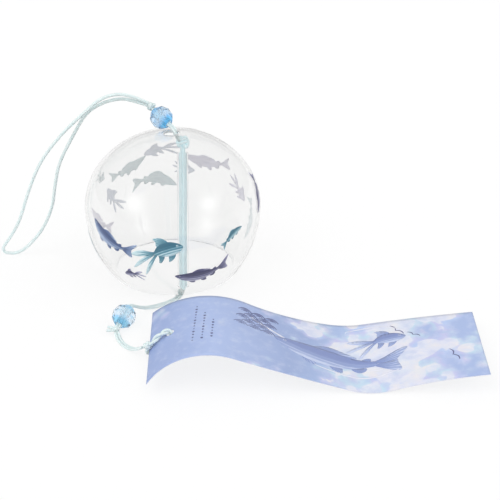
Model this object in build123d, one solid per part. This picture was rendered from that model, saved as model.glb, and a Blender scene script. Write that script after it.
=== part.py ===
from build123d import *
import math
import os

# Furin wind bell, laid out on a table: a blown glass bell stands on its rim, its hanging loop
# falls to the left, and its clapper leans inside and leads a tail cord out under the rim to a
# bead and a printed paper strip. Lengths are millimetres and angles are degrees. The table is
# z = 0 with +Z up, the origin is under the centre of the bell's mouth, +X runs along the paper
# strip and -Y points away from the bell towards it.

# Glass bell; the crown's rise over the belly and its radius are shares of the bell's radius
bell_radius = 40.0
belly_height = 31.5
mouth_radius = 29.0
crown_rise_share = 0.875
crown_radius_share = 1.075
glass_wall = 1.3
cord_hole_radius = 3.2
rim_rounding = 0.35
bell_tilt = 1.1

# Cord, a round satin cord that is always used double
cord_diameter = 1.2
strand_gap = 0.05
bend_share = 0.45

# Clearances between soft cord pieces and what they rest against
rest_clearance = 0.3
joint_clearance = 0.35
turn_clearance = 0.4
squeeze_clearance = 0.08
floor_clearance = 0.02

# Faceted beads
bead_diameter = 10.4
bead_bore = 2.8
bead_sides = 12
bead_latitudes = (-64, -32, 0, 32, 64)

# Knots, by radius
crown_knot_radius = 3.4
loop_knot_radius = 2.2
clapper_knot_radius = 1.6
bead_knot_radius = 1.6
card_knot_radius = 1.6

# Clapper tube, hung from the crown knot and ending just inside the near side of the mouth
clapper_diameter = 5.0
clapper_bore = 2.9
clapper_foot_inset = 7.5
clapper_foot_height = 1.64
clapper_neck = 1.0
tube_rounding = 0.3

# Paper strip: flat size, and how each long edge bends from its left end, as pairs of the share
# of the length and the turn over it
card_length = 140.0
card_width = 50.0
card_thickness = 0.4
card_left_skew = 1.4
card_far_heading = 39.0
card_far_bend_shares = ((0.30, -64), (0.26, 16), (0.11, 18.5), (0.33, -3.5))
card_near_heading = 58.0
card_near_bend_shares = ((0.27, -77), (0.34, 2.5), (0.12, 33), (0.27, -10.5))
card_hole_radius = 1.8
card_hole_inset = 12.4
card_floor_gap = 0.1

# Places at the crown, from the centre of the cord hole, and the upper bead's bearing from the
# centre of the crown's ball
crown_knot_offset = (5.0, 1.9, -5.4)
neck_route = ((2.7, 0.62, -3.0), (1.95, 0.07, -0.92), (2.0, 0.22, 1.38))
neck_reach = 1.05
upper_bead_bearing = (-4.3, 5.9, 48.0)
loop_knot_shift = (0.4, 0.4, 0.75)

# Hanging loop, hung from the loop knot: its first point from the knot, and its route
loop_start_offset = (-1.5, -0.15, 1.6)
loop_route = (
    (-10.5, 10.45, 77.5), (-16.2, 10.2, 80.4), (-23.5, 10.2, 82.0), (-31.5, 10.3, 79.8),
    (-39.5, 10.4, 72.6), (-50.5, 10.9, 62.4), (-61.5, 11.6, 48.6), (-68.5, 12.3, 33.0),
    (-73.8, 12.7, 18.0), (-79.8, 13.0, 8.2), (-83.7, 13.0, 2.6), (-81.6, 12.9, 0.62),
    (-77.4, 12.8, 0.75), (-71.6, 12.8, 3.8), (-63.2, 12.6, 13.4), (-57.6, 12.4, 25.4),
    (-55.6, 12.2, 36.5), (-52.8, 12.1, 48.0), (-44.6, 12.1, 62.6), (-38.6, 12.1, 72.4),
    (-30.8, 12.0, 77.2), (-22.8, 11.6, 79.3), (-16.4, 11.1, 78.2), (-11.1, 10.8, 76.4),
)

# Where the cord passes under the near side of the rim: across, and out from the rim
rim_entry_across = 3.85
rim_entry_inset = 1.85
rim_exit_across = 2.7
rim_exit_reach = 1.4
clapper_knot_across = 4.2
clapper_knot_inset = 3.45

# On the table, all from the point where the cord leaves the rim, as the middle line of a double
# stretch or one strand of it; heights are above a cord that lies on the table
tail_route = (
    (-0.42, -0.86, 0), (-2.5, -3.2, 0), (-7.3, -6.6, 0), (-12.3, -10.8, 1.1), (-16.0, -15.5, 4.3),
    (-17.9, -17.6, 6.4),
)
lower_bead_offset = (-21.0, -23.7)
lower_bead_aim = (-0.38, -0.83, -0.40)
bead_tail_ends = ((-27.0, -29.2, 2.6), (-27.3, -30.8, 1.8))
card_lead_route = (
    (-23.35, -31.4, 0.9), (-22.4, -34.6, 0), (-19.7, -39.6, 0), (-15.9, -43.0, 0.3),
    (-13.0, -47.3, 3.2), (-10.75, -50.7, 6.1),
)
card_knot_offset = (-8.6, -50.9, 7.15)
card_loop_back_route = (
    (-7.5, -50.3, 8.15), (-5.6, -49.5, 11.1), (-2.5, -48.6, 13.0), (-0.3, -48.1, 12.6),
    (1.1, -47.97, 11.1), (1.1, -47.97, 9.3), (-0.4, -48.05, 8.0), (-3.4, -48.45, 6.4),
    (-6.1, -49.15, 4.6), (-7.6, -49.85, 3.4), (-8.85, -50.25, 4.15), (-8.8, -50.3, 5.65),
)
card_loop_front_route = (
    (-6.95, -51.5, 7.15), (-4.9, -51.2, 9.15), (-2.1, -50.2, 11.7), (-0.3, -49.4, 12.7),
    (1.1, -49.23, 11.1), (1.1, -49.23, 9.3), (-0.4, -49.33, 8.0), (-3.4, -49.75, 6.4),
    (-6.1, -50.48, 4.6), (-7.6, -51.18, 3.4), (-8.85, -51.58, 4.15), (-8.8, -51.63, 5.65),
)
card_left_offset = -8.7
card_far_offset = -23.6

# Sizes that follow from the ones above
bell_height = belly_height + bell_radius * crown_rise_share
crown_radius = bell_radius * crown_radius_share
cord_radius = cord_diameter / 2
strand_spacing = cord_diameter + strand_gap
bead_radius = bead_diameter / 2
rim_lift = 2 * mouth_radius * math.sin(math.radians(bell_tilt))
squeezed_height = rim_lift * (1 - glass_wall / (2 * mouth_radius)) - squeeze_clearance
squeezed_width = cord_diameter**2 / squeezed_height
lying_height = cord_radius + floor_clearance
bead_cap = bead_radius * math.sin(math.radians(bead_latitudes[-1]))
rim_entry = (rim_entry_across, rim_entry_inset - mouth_radius)
rim_exit = (rim_exit_across, -mouth_radius - rim_exit_reach)
card_left = rim_exit_across + card_left_offset
card_far_side = rim_exit[1] + card_far_offset


def unit(vector):
    """The direction of a vector."""
    return Vector(vector).normalized()


def save(shape, node):
    """One sub-part, written under its node's name."""
    shape.label = node
    os.makedirs("parts", exist_ok=True)
    export_step(shape, f"parts/{node}.step")
    print(f"{node}: {len(shape.solids())} solids, {shape.volume:.1f} mm3")


def ball(place, radius):
    """A tightened knot's outer form."""
    return Pos(*place) * Sphere(radius)


def route_line(points):
    """Straight runs joined by arcs as large as the runs allow, and the arcs' radii."""
    corners = [Vector(*point) for point in points]
    runs = [end - start for start, end in zip(corners, corners[1:])]
    radii = []
    for before, after in zip(runs, runs[1:]):
        half_turn = math.radians(before.get_angle(after)) / 2
        radii.append(bend_share * min(before.length, after.length) / math.tan(half_turn))
    return FilletPolyline(*corners, radius=radii), radii


def strand(points, name):
    """One strand of cord along a route."""
    path, radii = route_line(points)
    section = Plane(origin=path @ 0, z_dir=path % 0) * Circle(cord_radius)
    tube = sweep(section, path=path)
    expected = math.pi * cord_radius**2 * path.length
    print(
        f"{name}: length {path.length:.1f}, tightest radius {min(radii):.1f}, radii "
        + " ".join(f"{radius:.1f}" for radius in radii)
        + f", volume over section times length {tube.volume / expected:.4f}"
    )
    return tube


def on_table(offset):
    """A place on the table, from its offset to the rim exit and its height over a lying cord."""
    across, out, rise = offset
    return (rim_exit[0] + across, rim_exit[1] + out, lying_height + rise)


def hung_from(points, start):
    """A route moved to a start, its heights stretched so that its lowest part stays put."""
    first = points[0]
    stretch = start.Z / first[2]
    shift_x, shift_y = start.X - first[0], start.Y - first[1]
    return [(x + shift_x, y + shift_y, z * stretch) for x, y, z in points]


def beside(points, side):
    """A strand's own route, half a strand spacing to one side of the middle of its pair."""
    moved = []
    for index, point in enumerate(points):
        before = points[max(index - 1, 0)]
        after = points[min(index + 1, len(points) - 1)]
        along = unit((after[0] - before[0], after[1] - before[1], 0))
        shift = along.rotate(Axis.Z, 90) * (side * strand_spacing / 2)
        moved.append((point[0] + shift.X, point[1] + shift.Y, point[2]))
    return moved


def straight_pair(start, end, across):
    """Two straight strands, one each side of the line from start to end."""
    start, end = Vector(*start), Vector(*end)
    strands = []
    for side in (-1, 1):
        foot = start + unit(across) * (side * strand_spacing / 2)
        seat = Plane(origin=foot, z_dir=end - start)
        strands.append(seat * extrude(Circle(cord_radius), amount=(end - start).length))
    return Compound(children=strands)


def tilted(shape):
    """The bell leans back on the far side of its rim, because the tail cord lifts the near side."""
    rim_back = Pos(0, mouth_radius, 0)
    return rim_back * Rot(-bell_tilt, 0, 0) * rim_back.inverse() * shape


def bell_outline(inset):
    """Skirt, shoulder and crown arcs of the bell, from the mouth to the cord hole."""
    skirt_step = bell_radius - mouth_radius
    skirt_radius = (skirt_step**2 + belly_height**2) / (2 * skirt_step)
    crown_drop = belly_height - (bell_height - crown_radius)
    shoulder_radius = (crown_radius**2 - bell_radius**2 - crown_drop**2) / (
        2 * (crown_radius - bell_radius)
    )
    meeting = math.degrees(math.atan2(crown_drop, bell_radius - shoulder_radius))
    skirt = skirt_radius - inset
    mouth = -math.degrees(math.asin(belly_height / skirt))
    hole = math.degrees(math.acos(cord_hole_radius / (crown_radius - inset)))
    return [
        CenterArc((bell_radius - skirt_radius, belly_height), skirt, mouth, -mouth),
        CenterArc((bell_radius - shoulder_radius, belly_height), shoulder_radius - inset, 0, meeting),
        CenterArc((0, bell_height - crown_radius), crown_radius - inset, meeting, hole - meeting),
    ]


def glass_bell():
    """The blown bell: one even wall, open at the mouth, with a hole for the cord in the crown."""
    outside = bell_outline(0)
    inside = bell_outline(glass_wall)
    hole_wall = Line(outside[-1] @ 1, inside[-1] @ 1)
    rim = Line(inside[0] @ 0, outside[0] @ 0)
    section = make_face(Curve() + outside + [hole_wall] + inside + [rim])
    bell = revolve(Plane.XZ * section, axis=Axis.Z)
    sharp = bell.edges().filter_by(GeomType.CIRCLE).group_by(Axis.Z)
    rim_edges = sharp[0]
    hole_edges = bell.edges().filter_by(GeomType.CIRCLE).filter_by(
        lambda edge: abs(edge.radius - cord_hole_radius) < rim_rounding / 2
    )
    bell = fillet(rim_edges + hole_edges, radius=rim_rounding)
    return tilted(bell)


def faceted_bead(place, axis):
    """A cut bead: rings of corners, each turned half a step, joined by triangular facets."""
    step = 360 / bead_sides
    rings = []
    for index, latitude in enumerate(bead_latitudes):
        radius = bead_radius * math.cos(math.radians(latitude))
        height = bead_radius * math.sin(math.radians(latitude))
        turns = [math.radians(step * (side + index % 2 / 2)) for side in range(bead_sides)]
        rings.append([(radius * math.cos(turn), radius * math.sin(turn), height) for turn in turns])
    faces = [Face(Wire.make_polygon(rings[0])), Face(Wire.make_polygon(rings[-1]))]
    for index, (low, high) in enumerate(zip(rings, rings[1:])):
        for side in range(bead_sides):
            following = (side + 1) % bead_sides
            inner, outer = (side, following) if index % 2 == 0 else (following, side)
            faces.append(Face(Wire.make_polygon((low[side], low[following], high[inner]))))
            faces.append(Face(Wire.make_polygon((high[side], high[following], low[outer]))))
    bead = Solid(Shell(faces))
    bead = bead - Cylinder(bead_bore / 2, 2 * bead_diameter)
    return Plane(origin=place, z_dir=axis) * bead


def clapper_tube(top, direction):
    """The glass tube that strikes the rim."""
    ring = Circle(clapper_diameter / 2) - Circle(clapper_bore / 2)
    tube = extrude(ring, amount=clapper_length)
    ends = tube.edges().filter_by(GeomType.CIRCLE).sort_by(Edge.length)[-2:]
    tube = fillet(ends, radius=tube_rounding)
    return Plane(origin=top, z_dir=direction) * tube


def squeezed_pair():
    """The two strands where they pass under the lifted rim, pressed flat side by side."""
    start = Vector(*rim_entry, squeezed_height / 2)
    end = Vector(*rim_exit, squeezed_height / 2)
    along = end - start
    across = along.cross(Vector(0, 0, 1))
    strands = []
    for side in (-1, 1):
        foot = start + unit(across) * (side * (squeezed_width + strand_gap) / 2)
        seat = Plane(origin=foot, x_dir=across, z_dir=along)
        oval = Ellipse(squeezed_width / 2, squeezed_height / 2)
        strands.append(seat * extrude(oval, amount=along.length))
    return Compound(children=strands)


def strip_side(start, heading, bends, side, lift):
    """One long edge of the paper strip as arcs, offset by lift from the middle of the paper."""
    along = heading
    place = Vector(start, side, 0)
    arcs = []
    for share, turn in bends:
        radius = card_length * share / math.radians(abs(turn))
        bend = math.copysign(1, turn)
        places = []
        for part in (0, 0.5, 1):
            angle = math.radians(along + turn * part)
            first = math.radians(along)
            across = math.sin(angle) - math.sin(first)
            up = math.cos(first) - math.cos(angle)
            middle = place + Vector(across, 0, up) * (bend * radius)
            places.append(middle + Vector(-math.sin(angle), 0, math.cos(angle)) * lift)
            reached = middle
        arcs.append(ThreePointArc(*places))
        place = reached
        along += turn
    return arcs


def strip_profile(start, heading, bends, side):
    """The closed outline of the paper's edge along one long side, resting on the table."""
    top = strip_side(start, heading, bends, side, card_thickness / 2)
    bottom = strip_side(start, heading, bends, side, -card_thickness / 2)
    ends = [Line(top[-1] @ 1, bottom[-1] @ 1), Line(bottom[0] @ 0, top[0] @ 0)]
    face = make_face(Curve() + top + ends + bottom)
    return Pos(0, 0, card_floor_gap - face.bounding_box().min.Z) * face


def card():
    """The paper strip, a bent sheet between its two long edges, with a hole for the cord."""
    far = strip_profile(card_left, card_far_heading, card_far_bend_shares, card_far_side)
    near_start = card_left + card_left_skew
    near_side = card_far_side - card_width
    near = strip_profile(near_start, card_near_heading, card_near_bend_shares, near_side)
    sheet = loft([far, near], ruled=True)
    slope = math.radians((card_far_heading + card_near_heading) / 2)
    hole_x = card_left + card_left_skew / 2 + card_hole_inset * math.cos(slope)
    middle = card_far_side - card_width / 2
    probe = Plane(origin=(hole_x, middle, 0)) * Cylinder(card_hole_radius, 4 * card_hole_inset)
    hole_place = (sheet & probe).center()
    punch = Cylinder(card_hole_radius, card_hole_inset)
    return sheet - Pos(*hole_place) * Rot(0, -hole_slope(sheet, hole_x, middle), 0) * punch


def hole_slope(sheet, place, middle):
    """The paper's slope at the hole, from its heights a hole's radius to either side."""
    heights = []
    for side in (-1, 1):
        needle = Pos(place + side * card_hole_radius, middle, 0) * Cylinder(card_thickness, card_length)
        heights.append((sheet & needle).center().Z)
    return math.degrees(math.atan2(heights[1] - heights[0], 2 * card_hole_radius))


# Crown: the neck of the cord comes up through the hole from the knot that carries the glass
crown_centre = tilted(Pos(0, 0, bell_height - crown_radius)).position
hole_rise = math.sqrt(crown_radius**2 - cord_hole_radius**2)
hole_place = tilted(Pos(0, 0, bell_height - crown_radius + hole_rise)).position
crown_knot_place = hole_place + Vector(*crown_knot_offset)
neck_points = [hole_place + Vector(*point) for point in neck_route]
neck_place = neck_points[-1]
neck = []
for side in (-1, 1):
    shift = Vector(0, side * strand_spacing / 2, 0)
    neck.append(strand([tuple(point + shift) for point in neck_points], "neck strand"))
save(glass_bell(), "glass_bell")
save(ball(crown_knot_place, crown_knot_radius), "crown_knot")
save(Compound(children=neck), "neck_cord")

# Upper bead, resting on the crown, and the hanging loop above it
bead_rest = crown_radius + bead_radius + rest_clearance
upper_bead_place = crown_centre + unit(upper_bead_bearing) * bead_rest
neck_aim = unit(upper_bead_place - neck_place)
loop_knot_reach = bead_cap + rest_clearance + loop_knot_radius
loop_knot_place = upper_bead_place + neck_aim * loop_knot_reach + Vector(*loop_knot_shift)
knot_from_bead = loop_knot_place - upper_bead_place
knot_along = knot_from_bead.dot(neck_aim)
knot_aside = math.sqrt(knot_from_bead.length**2 - knot_along**2)
knot_face = knot_along - math.sqrt(loop_knot_radius**2 - knot_aside**2)
save(faceted_bead(upper_bead_place, neck_aim), "upper_bead")
bead_cord_start = neck_place + neck_aim * neck_reach
bead_cord_end = upper_bead_place + neck_aim * (knot_face - joint_clearance)
bead_cord = straight_pair(bead_cord_start, bead_cord_end, neck_aim.cross(Vector(0, 0, 1)))
save(bead_cord, "bead_cord")
save(ball(loop_knot_place, loop_knot_radius), "loop_knot")
loop_points = hung_from(loop_route, loop_knot_place + Vector(*loop_start_offset))
save(strand(loop_points, "hanging loop"), "hanging_loop")

# Clapper, hung from the crown knot and leaning on the near side of the rim
clapper_foot = Vector(crown_knot_place.X, clapper_foot_inset - mouth_radius, clapper_foot_height)
clapper_aim = unit(clapper_foot - crown_knot_place)
clapper_pivot = crown_knot_place + clapper_aim * (crown_knot_radius + joint_clearance)
tube_top = clapper_pivot + clapper_aim * clapper_neck
clapper_length = (clapper_foot - tube_top).length
clapper_knot_place = (
    clapper_knot_across,
    clapper_knot_inset - mouth_radius,
    clapper_knot_radius + floor_clearance,
)
save(clapper_tube(tube_top, clapper_aim), "clapper_tube")
save(straight_pair(clapper_pivot, clapper_foot, (1, 0, 0)), "clapper_cord")
save(ball(clapper_knot_place, clapper_knot_radius), "clapper_knot")
save(squeezed_pair(), "rim_cord")

# Tail cord, lower bead and its knot
lower_aim = unit(lower_bead_aim)
lower_bead_place = Vector(
    rim_exit[0] + lower_bead_offset[0],
    rim_exit[1] + lower_bead_offset[1],
    bead_radius + floor_clearance,
)
lower_entry = lower_bead_place - lower_aim * (bead_cap + joint_clearance)
bead_knot_reach = bead_radius + joint_clearance + bead_knot_radius
bead_knot_place = lower_bead_place + lower_aim * bead_knot_reach
tail_points = [on_table(point) for point in tail_route]
tail_points.append(tuple(lower_entry - lower_aim * turn_clearance))
save(strand(beside(tail_points, 1), "tail back strand"), "tail_strand_back")
save(strand(beside(tail_points, -1), "tail front strand"), "tail_strand_front")
save(faceted_bead(lower_bead_place, lower_aim), "lower_bead")
lower_cord_end = bead_knot_place - lower_aim * bead_knot_radius
lower_cord = straight_pair(lower_entry, lower_cord_end, lower_aim.cross(Vector(0, 0, 1)))
save(lower_cord, "lower_bead_cord")
save(ball(bead_knot_place, bead_knot_radius), "bead_knot")
cut_ends = []
for offset in bead_tail_ends:
    outward = Vector(*on_table(offset)) - bead_knot_place
    seat = Plane(origin=bead_knot_place + unit(outward) * bead_knot_radius, z_dir=outward)
    cut_ends.append(seat * extrude(Circle(cord_radius), amount=outward.length - bead_knot_radius))
save(Compound(children=cut_ends), "cut_cord_ends")

# Card lead, card knot, card loops and the paper strip
lead_points = [on_table(point) for point in card_lead_route]
save(strand(beside(lead_points, 1), "card lead back strand"), "card_strand_back")
save(strand(beside(lead_points, -1), "card lead front strand"), "card_strand_front")
card_knot_place = on_table(card_knot_offset)
save(ball(card_knot_place, card_knot_radius), "card_knot")
loop_back = [on_table(point) for point in card_loop_back_route]
loop_front = [on_table(point) for point in card_loop_front_route]
save(strand(loop_back, "card loop back"), "card_loop_back")
save(strand(loop_front, "card loop front"), "card_loop_front")
save(card(), "card")
print(f"hole {hole_place}, neck {neck_place}, neck aim {neck_aim}")
print(f"upper bead {upper_bead_place}, loop knot {loop_knot_place}")
print(f"clapper pivot {clapper_pivot}, aim {clapper_aim}, length {clapper_length:.2f}")
print(f"lower bead {lower_bead_place}, aim {lower_aim}, bead knot {bead_knot_place}")
print(f"tail start {tail_points[0]}, card knot {card_knot_place}")
print(f"rim lift {rim_lift:.3f}, squeezed strand {squeezed_width:.2f} by {squeezed_height:.2f}")
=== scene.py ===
import math

import bpy
import numpy as np
from mathutils import Matrix, Vector
from mathutils.geometry import delaunay_2d_cdt


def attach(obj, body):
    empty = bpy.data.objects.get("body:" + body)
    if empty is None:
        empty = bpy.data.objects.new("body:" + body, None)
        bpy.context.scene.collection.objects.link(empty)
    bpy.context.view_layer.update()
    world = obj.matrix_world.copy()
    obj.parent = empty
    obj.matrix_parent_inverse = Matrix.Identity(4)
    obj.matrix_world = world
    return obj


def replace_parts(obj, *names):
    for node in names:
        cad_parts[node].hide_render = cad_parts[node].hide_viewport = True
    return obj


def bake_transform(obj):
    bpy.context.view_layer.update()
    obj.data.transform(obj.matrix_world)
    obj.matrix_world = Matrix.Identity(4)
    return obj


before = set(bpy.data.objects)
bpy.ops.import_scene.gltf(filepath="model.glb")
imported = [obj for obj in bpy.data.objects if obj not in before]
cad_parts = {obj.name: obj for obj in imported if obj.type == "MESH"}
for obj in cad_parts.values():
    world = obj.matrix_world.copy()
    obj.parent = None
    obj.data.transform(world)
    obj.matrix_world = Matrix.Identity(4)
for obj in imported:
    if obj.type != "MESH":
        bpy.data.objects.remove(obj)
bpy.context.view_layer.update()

# Sizes in metres, from the CAD model
MM = 0.001
CORD_RADIUS = 0.0006
STRAND_SPACING = 0.00125
STRAND_OFFSET = STRAND_SPACING / 2
BELL_TILT = math.radians(-1.1)
RIM_BACK = Vector((0, 0.029, 0))
UP = Vector((0, 0, 1))

# The hanging loop's slack cord, as thick as the photograph shows it
LOOP_CORD_RADIUS = 0.00075

# Places in metres, from the CAD model
CROWN_KNOT = Vector((0.005, 0.0031797, 0.0615253))
NECK_PIVOT = Vector((0.002, 0.0014997, 0.0683053))
NECK_AIM = Vector((-0.718279, 0.553420, 0.421664))
UPPER_BEAD = Vector((-0.0042954, 0.0063502, 0.0720010))
LOOP_KNOT = Vector((-0.0090481, 0.0107202, 0.0757759))
CLAPPER_PIVOT = Vector((0.005, 0.0017508, 0.0580581))
CLAPPER_AIM = Vector((0, -0.381028, -0.924564))
CLAPPER_FOOT = Vector((0.005, -0.0215, 0.00164))
CLAPPER_KNOT = Vector((0.0042, -0.02555, 0.00162))
RIM_ENTRY = Vector((0.00385, -0.02715, 0.000505))
RIM_EXIT = Vector((0.0027, -0.0304, 0.000505))
TAIL_START = Vector((0.00228, -0.03126, 0.00062))
LOWER_BEAD = Vector((-0.0183, -0.0541, 0.00522))
LOWER_AIM = Vector((-0.381279, -0.832795, -0.401347))
BEAD_KNOT = Vector((-0.0210261, -0.0600545, 0.0023504))
CARD_KNOT = Vector((-0.0059, -0.0813, 0.00777))

# Routes in metres, the points of the CAD model's cords
HANGING_LOOP = [
    # For its thicker cord it turns wider at the far tip, and its lowest points are raised
    (-0.0105, 0.01045, 0.0775), (-0.0162, 0.0102, 0.0804), (-0.0235, 0.0102, 0.0820),
    (-0.0315, 0.0103, 0.0798), (-0.0395, 0.0104, 0.0726), (-0.0505, 0.0109, 0.0624),
    (-0.0615, 0.0116, 0.0486), (-0.0685, 0.0123, 0.0330), (-0.0738, 0.0127, 0.0180),
    (-0.0786, 0.0130, 0.0100), (-0.0817, 0.0130, 0.0060), (-0.0835, 0.0130, 0.0031),
    (-0.0826, 0.0129, 0.0010), (-0.0800, 0.0129, 0.00070), (-0.0766, 0.0128, 0.00083),
    (-0.0716, 0.0128, 0.0038), (-0.0632, 0.0126, 0.0134),
    (-0.0576, 0.0124, 0.0254), (-0.0556, 0.0122, 0.0365), (-0.0528, 0.0121, 0.0480),
    (-0.0446, 0.0121, 0.0626), (-0.0386, 0.0121, 0.0724), (-0.0308, 0.0120, 0.0772),
    (-0.0228, 0.0116, 0.0793), (-0.0164, 0.0111, 0.0782), (-0.0111, 0.0108, 0.0764),
]
TAIL = [
    (0.00228, -0.03126, 0.00062), (0.0002, -0.0336, 0.00062), (-0.0046, -0.0370, 0.00062),
    (-0.0096, -0.0412, 0.00172), (-0.0133, -0.0459, 0.00492), (-0.0152, -0.0480, 0.00702),
    (-0.01623, -0.04958, 0.00740),
]
CARD_LEAD = [
    (-0.02065, -0.0618, 0.00152), (-0.0197, -0.0650, 0.00062), (-0.0170, -0.0700, 0.00062),
    (-0.0132, -0.0734, 0.00092), (-0.0103, -0.0777, 0.00382), (-0.00805, -0.0811, 0.00672),
]
CARD_LOOP_BACK = [
    (-0.0048, -0.0807, 0.00877), (-0.0029, -0.0799, 0.01172), (0.0002, -0.0790, 0.01362),
    (0.0024, -0.0785, 0.01322), (0.0038, -0.07837, 0.01172), (0.0038, -0.07837, 0.00992),
    (0.0023, -0.07845, 0.00862), (-0.0007, -0.07885, 0.00702), (-0.0034, -0.07955, 0.00522),
    (-0.0049, -0.08025, 0.00402), (-0.00615, -0.08065, 0.00477), (-0.0061, -0.0807, 0.00627),
]
CARD_LOOP_FRONT = [
    (-0.00425, -0.0819, 0.00777), (-0.0022, -0.0816, 0.00977), (0.0006, -0.0806, 0.01232),
    (0.0024, -0.0798, 0.01332), (0.0038, -0.07963, 0.01172), (0.0038, -0.07963, 0.00992),
    (0.0023, -0.07973, 0.00862), (-0.0007, -0.08015, 0.00702), (-0.0034, -0.08088, 0.00522),
    (-0.0049, -0.08158, 0.00402), (-0.00615, -0.08198, 0.00477), (-0.0061, -0.08203, 0.00627),
]

# Materials


class Nodes:
    """The node tree of a material or of the world, with short ways to fill it."""

    def __init__(self, owner):
        self.owner = owner
        owner.use_nodes = True
        self.tree = owner.node_tree
        self.tree.nodes.clear()

    def add(self, kind, inputs=None, **settings):
        """A node of one kind. inputs has a value or another node's output for each socket that it names."""
        node = self.tree.nodes.new(kind)
        for key, value in settings.items():
            setattr(node, key, value)
        for key, value in (inputs or {}).items():
            socket = node.inputs[key]
            if isinstance(value, bpy.types.NodeSocket):
                self.tree.links.new(value, socket)
            elif socket.type == "RGBA":
                socket.default_value = (*value, 1)
            else:
                socket.default_value = value
        return node

    def principled(self, **values):
        inputs = {key.replace("_", " "): value for key, value in values.items()}
        return self.add("ShaderNodeBsdfPrincipled", inputs).outputs[0]

    def math(self, operation, *values):
        return self.add("ShaderNodeMath", dict(enumerate(values)), operation=operation).outputs[0]

    def vectors(self, operation, inputs):
        return self.add("ShaderNodeVectorMath", inputs, operation=operation).outputs

    def ramp(self, factor, stops, interpolation="LINEAR"):
        node = self.add("ShaderNodeValToRGB", {"Fac": factor})
        node.color_ramp.interpolation = interpolation
        while len(node.color_ramp.elements) < len(stops):
            node.color_ramp.elements.new(1)
        for element, (place, colour) in zip(node.color_ramp.elements, stops):
            element.position = place
            element.color = (*colour, 1)
        return node.outputs["Color"]

    def mix(self, factor, first, second):
        return self.add("ShaderNodeMix", {0: factor, 6: first, 7: second}, data_type="RGBA").outputs[2]

    def mix_shaders(self, factor, first, second):
        return self.add("ShaderNodeMixShader", {0: factor, 1: first, 2: second}).outputs[0]

    def between(self, value, low, high):
        """0 below low and 1 above high, with a smooth rise between them."""
        inputs = {"Value": value, "From Min": low, "From Max": high}
        return self.add("ShaderNodeMapRange", inputs, interpolation_type="SMOOTHSTEP").outputs["Result"]

    def position(self):
        return self.add("ShaderNodeTexCoord").outputs["Object"]

    def uv(self, stretch=None):
        place = self.add("ShaderNodeTexCoord").outputs["UV"]
        if stretch is None:
            return place
        return self.add("ShaderNodeMapping", {"Vector": place, "Scale": stretch}).outputs["Vector"]

    def uv_axes(self):
        """The two UV coordinates, each by itself."""
        node = self.add("ShaderNodeSeparateXYZ", {0: self.uv()})
        return node.outputs[0], node.outputs[1]

    def noise(self, vector, scale, detail, roughness):
        inputs = {"Vector": vector, "Scale": scale, "Detail": detail, "Roughness": roughness}
        return self.add("ShaderNodeTexNoise", inputs).outputs["Fac"]

    def bump(self, height, distance, strength):
        inputs = {"Height": height, "Distance": distance, "Strength": strength}
        return self.add("ShaderNodeBump", inputs).outputs["Normal"]

    def finish(self, shader):
        self.add("ShaderNodeOutputMaterial", {"Surface": shader})
        return self.owner

    def lets_lamps_through(self, shader, tint):
        """Light from the lamps passes this surface, as it does thin clear glass."""
        clear = self.add("ShaderNodeBsdfTransparent", {"Color": tint}).outputs[0]
        shadow = self.add("ShaderNodeLightPath").outputs["Is Shadow Ray"]
        return self.finish(self.mix_shaders(shadow, shader, clear))


def new_material(name):
    return Nodes(bpy.data.materials.new(name))


def clear_glass_material(name, colour, waves, depth, strength, tint):
    """Clear glass with slow waves in its skin; tint is what lamp light keeps on its way through."""
    nodes = new_material(name)
    ripples = nodes.bump(nodes.noise(nodes.position(), waves, 1, 0.4), depth, strength)
    body = nodes.principled(
        Base_Color=colour, Roughness=0.0, IOR=1.47, Transmission_Weight=1.0, Normal=ripples,
    )
    return nodes.lets_lamps_through(body, tint)


def ground_glass_material(name, clearness):
    """The rubbed edge of the mouth or of the cord hole, dull and pale."""
    nodes = new_material(name)
    grit = nodes.noise(nodes.position(), 2600, 3, 0.6)
    colour = nodes.ramp(grit, [(0.35, (0.90, 0.91, 0.92)), (0.65, (0.98, 0.98, 0.985))])
    body = nodes.principled(
        Base_Color=colour, Roughness=0.6, IOR=1.12, Transmission_Weight=clearness,
        Normal=nodes.bump(grit, 0.00005, 0.6),
    )
    return nodes.lets_lamps_through(body, (0.85, 0.86, 0.87))


def snug_bore_material():
    """The tube's bore, snug on the cord: light passes it unbent, so the cord looks as wide as the tube."""
    nodes = new_material("snug_bore")
    streaks = nodes.noise(nodes.uv((40, 3, 1)), 1, 2, 0.5)
    colour = nodes.ramp(streaks, [(0.3, (0.985, 0.99, 0.99)), (0.7, (1.0, 1.0, 1.0))])
    body = nodes.principled(Base_Color=colour, Roughness=0.0, IOR=1.0, Transmission_Weight=1.0)
    return nodes.lets_lamps_through(body, (1.0, 1.0, 1.0))


# Metres from a bead's axis within which its surface is the bore's, and from its middle to its end
BEAD_BORE_REACH = 0.00155
BEAD_HALF_LENGTH = 0.0052


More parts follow.
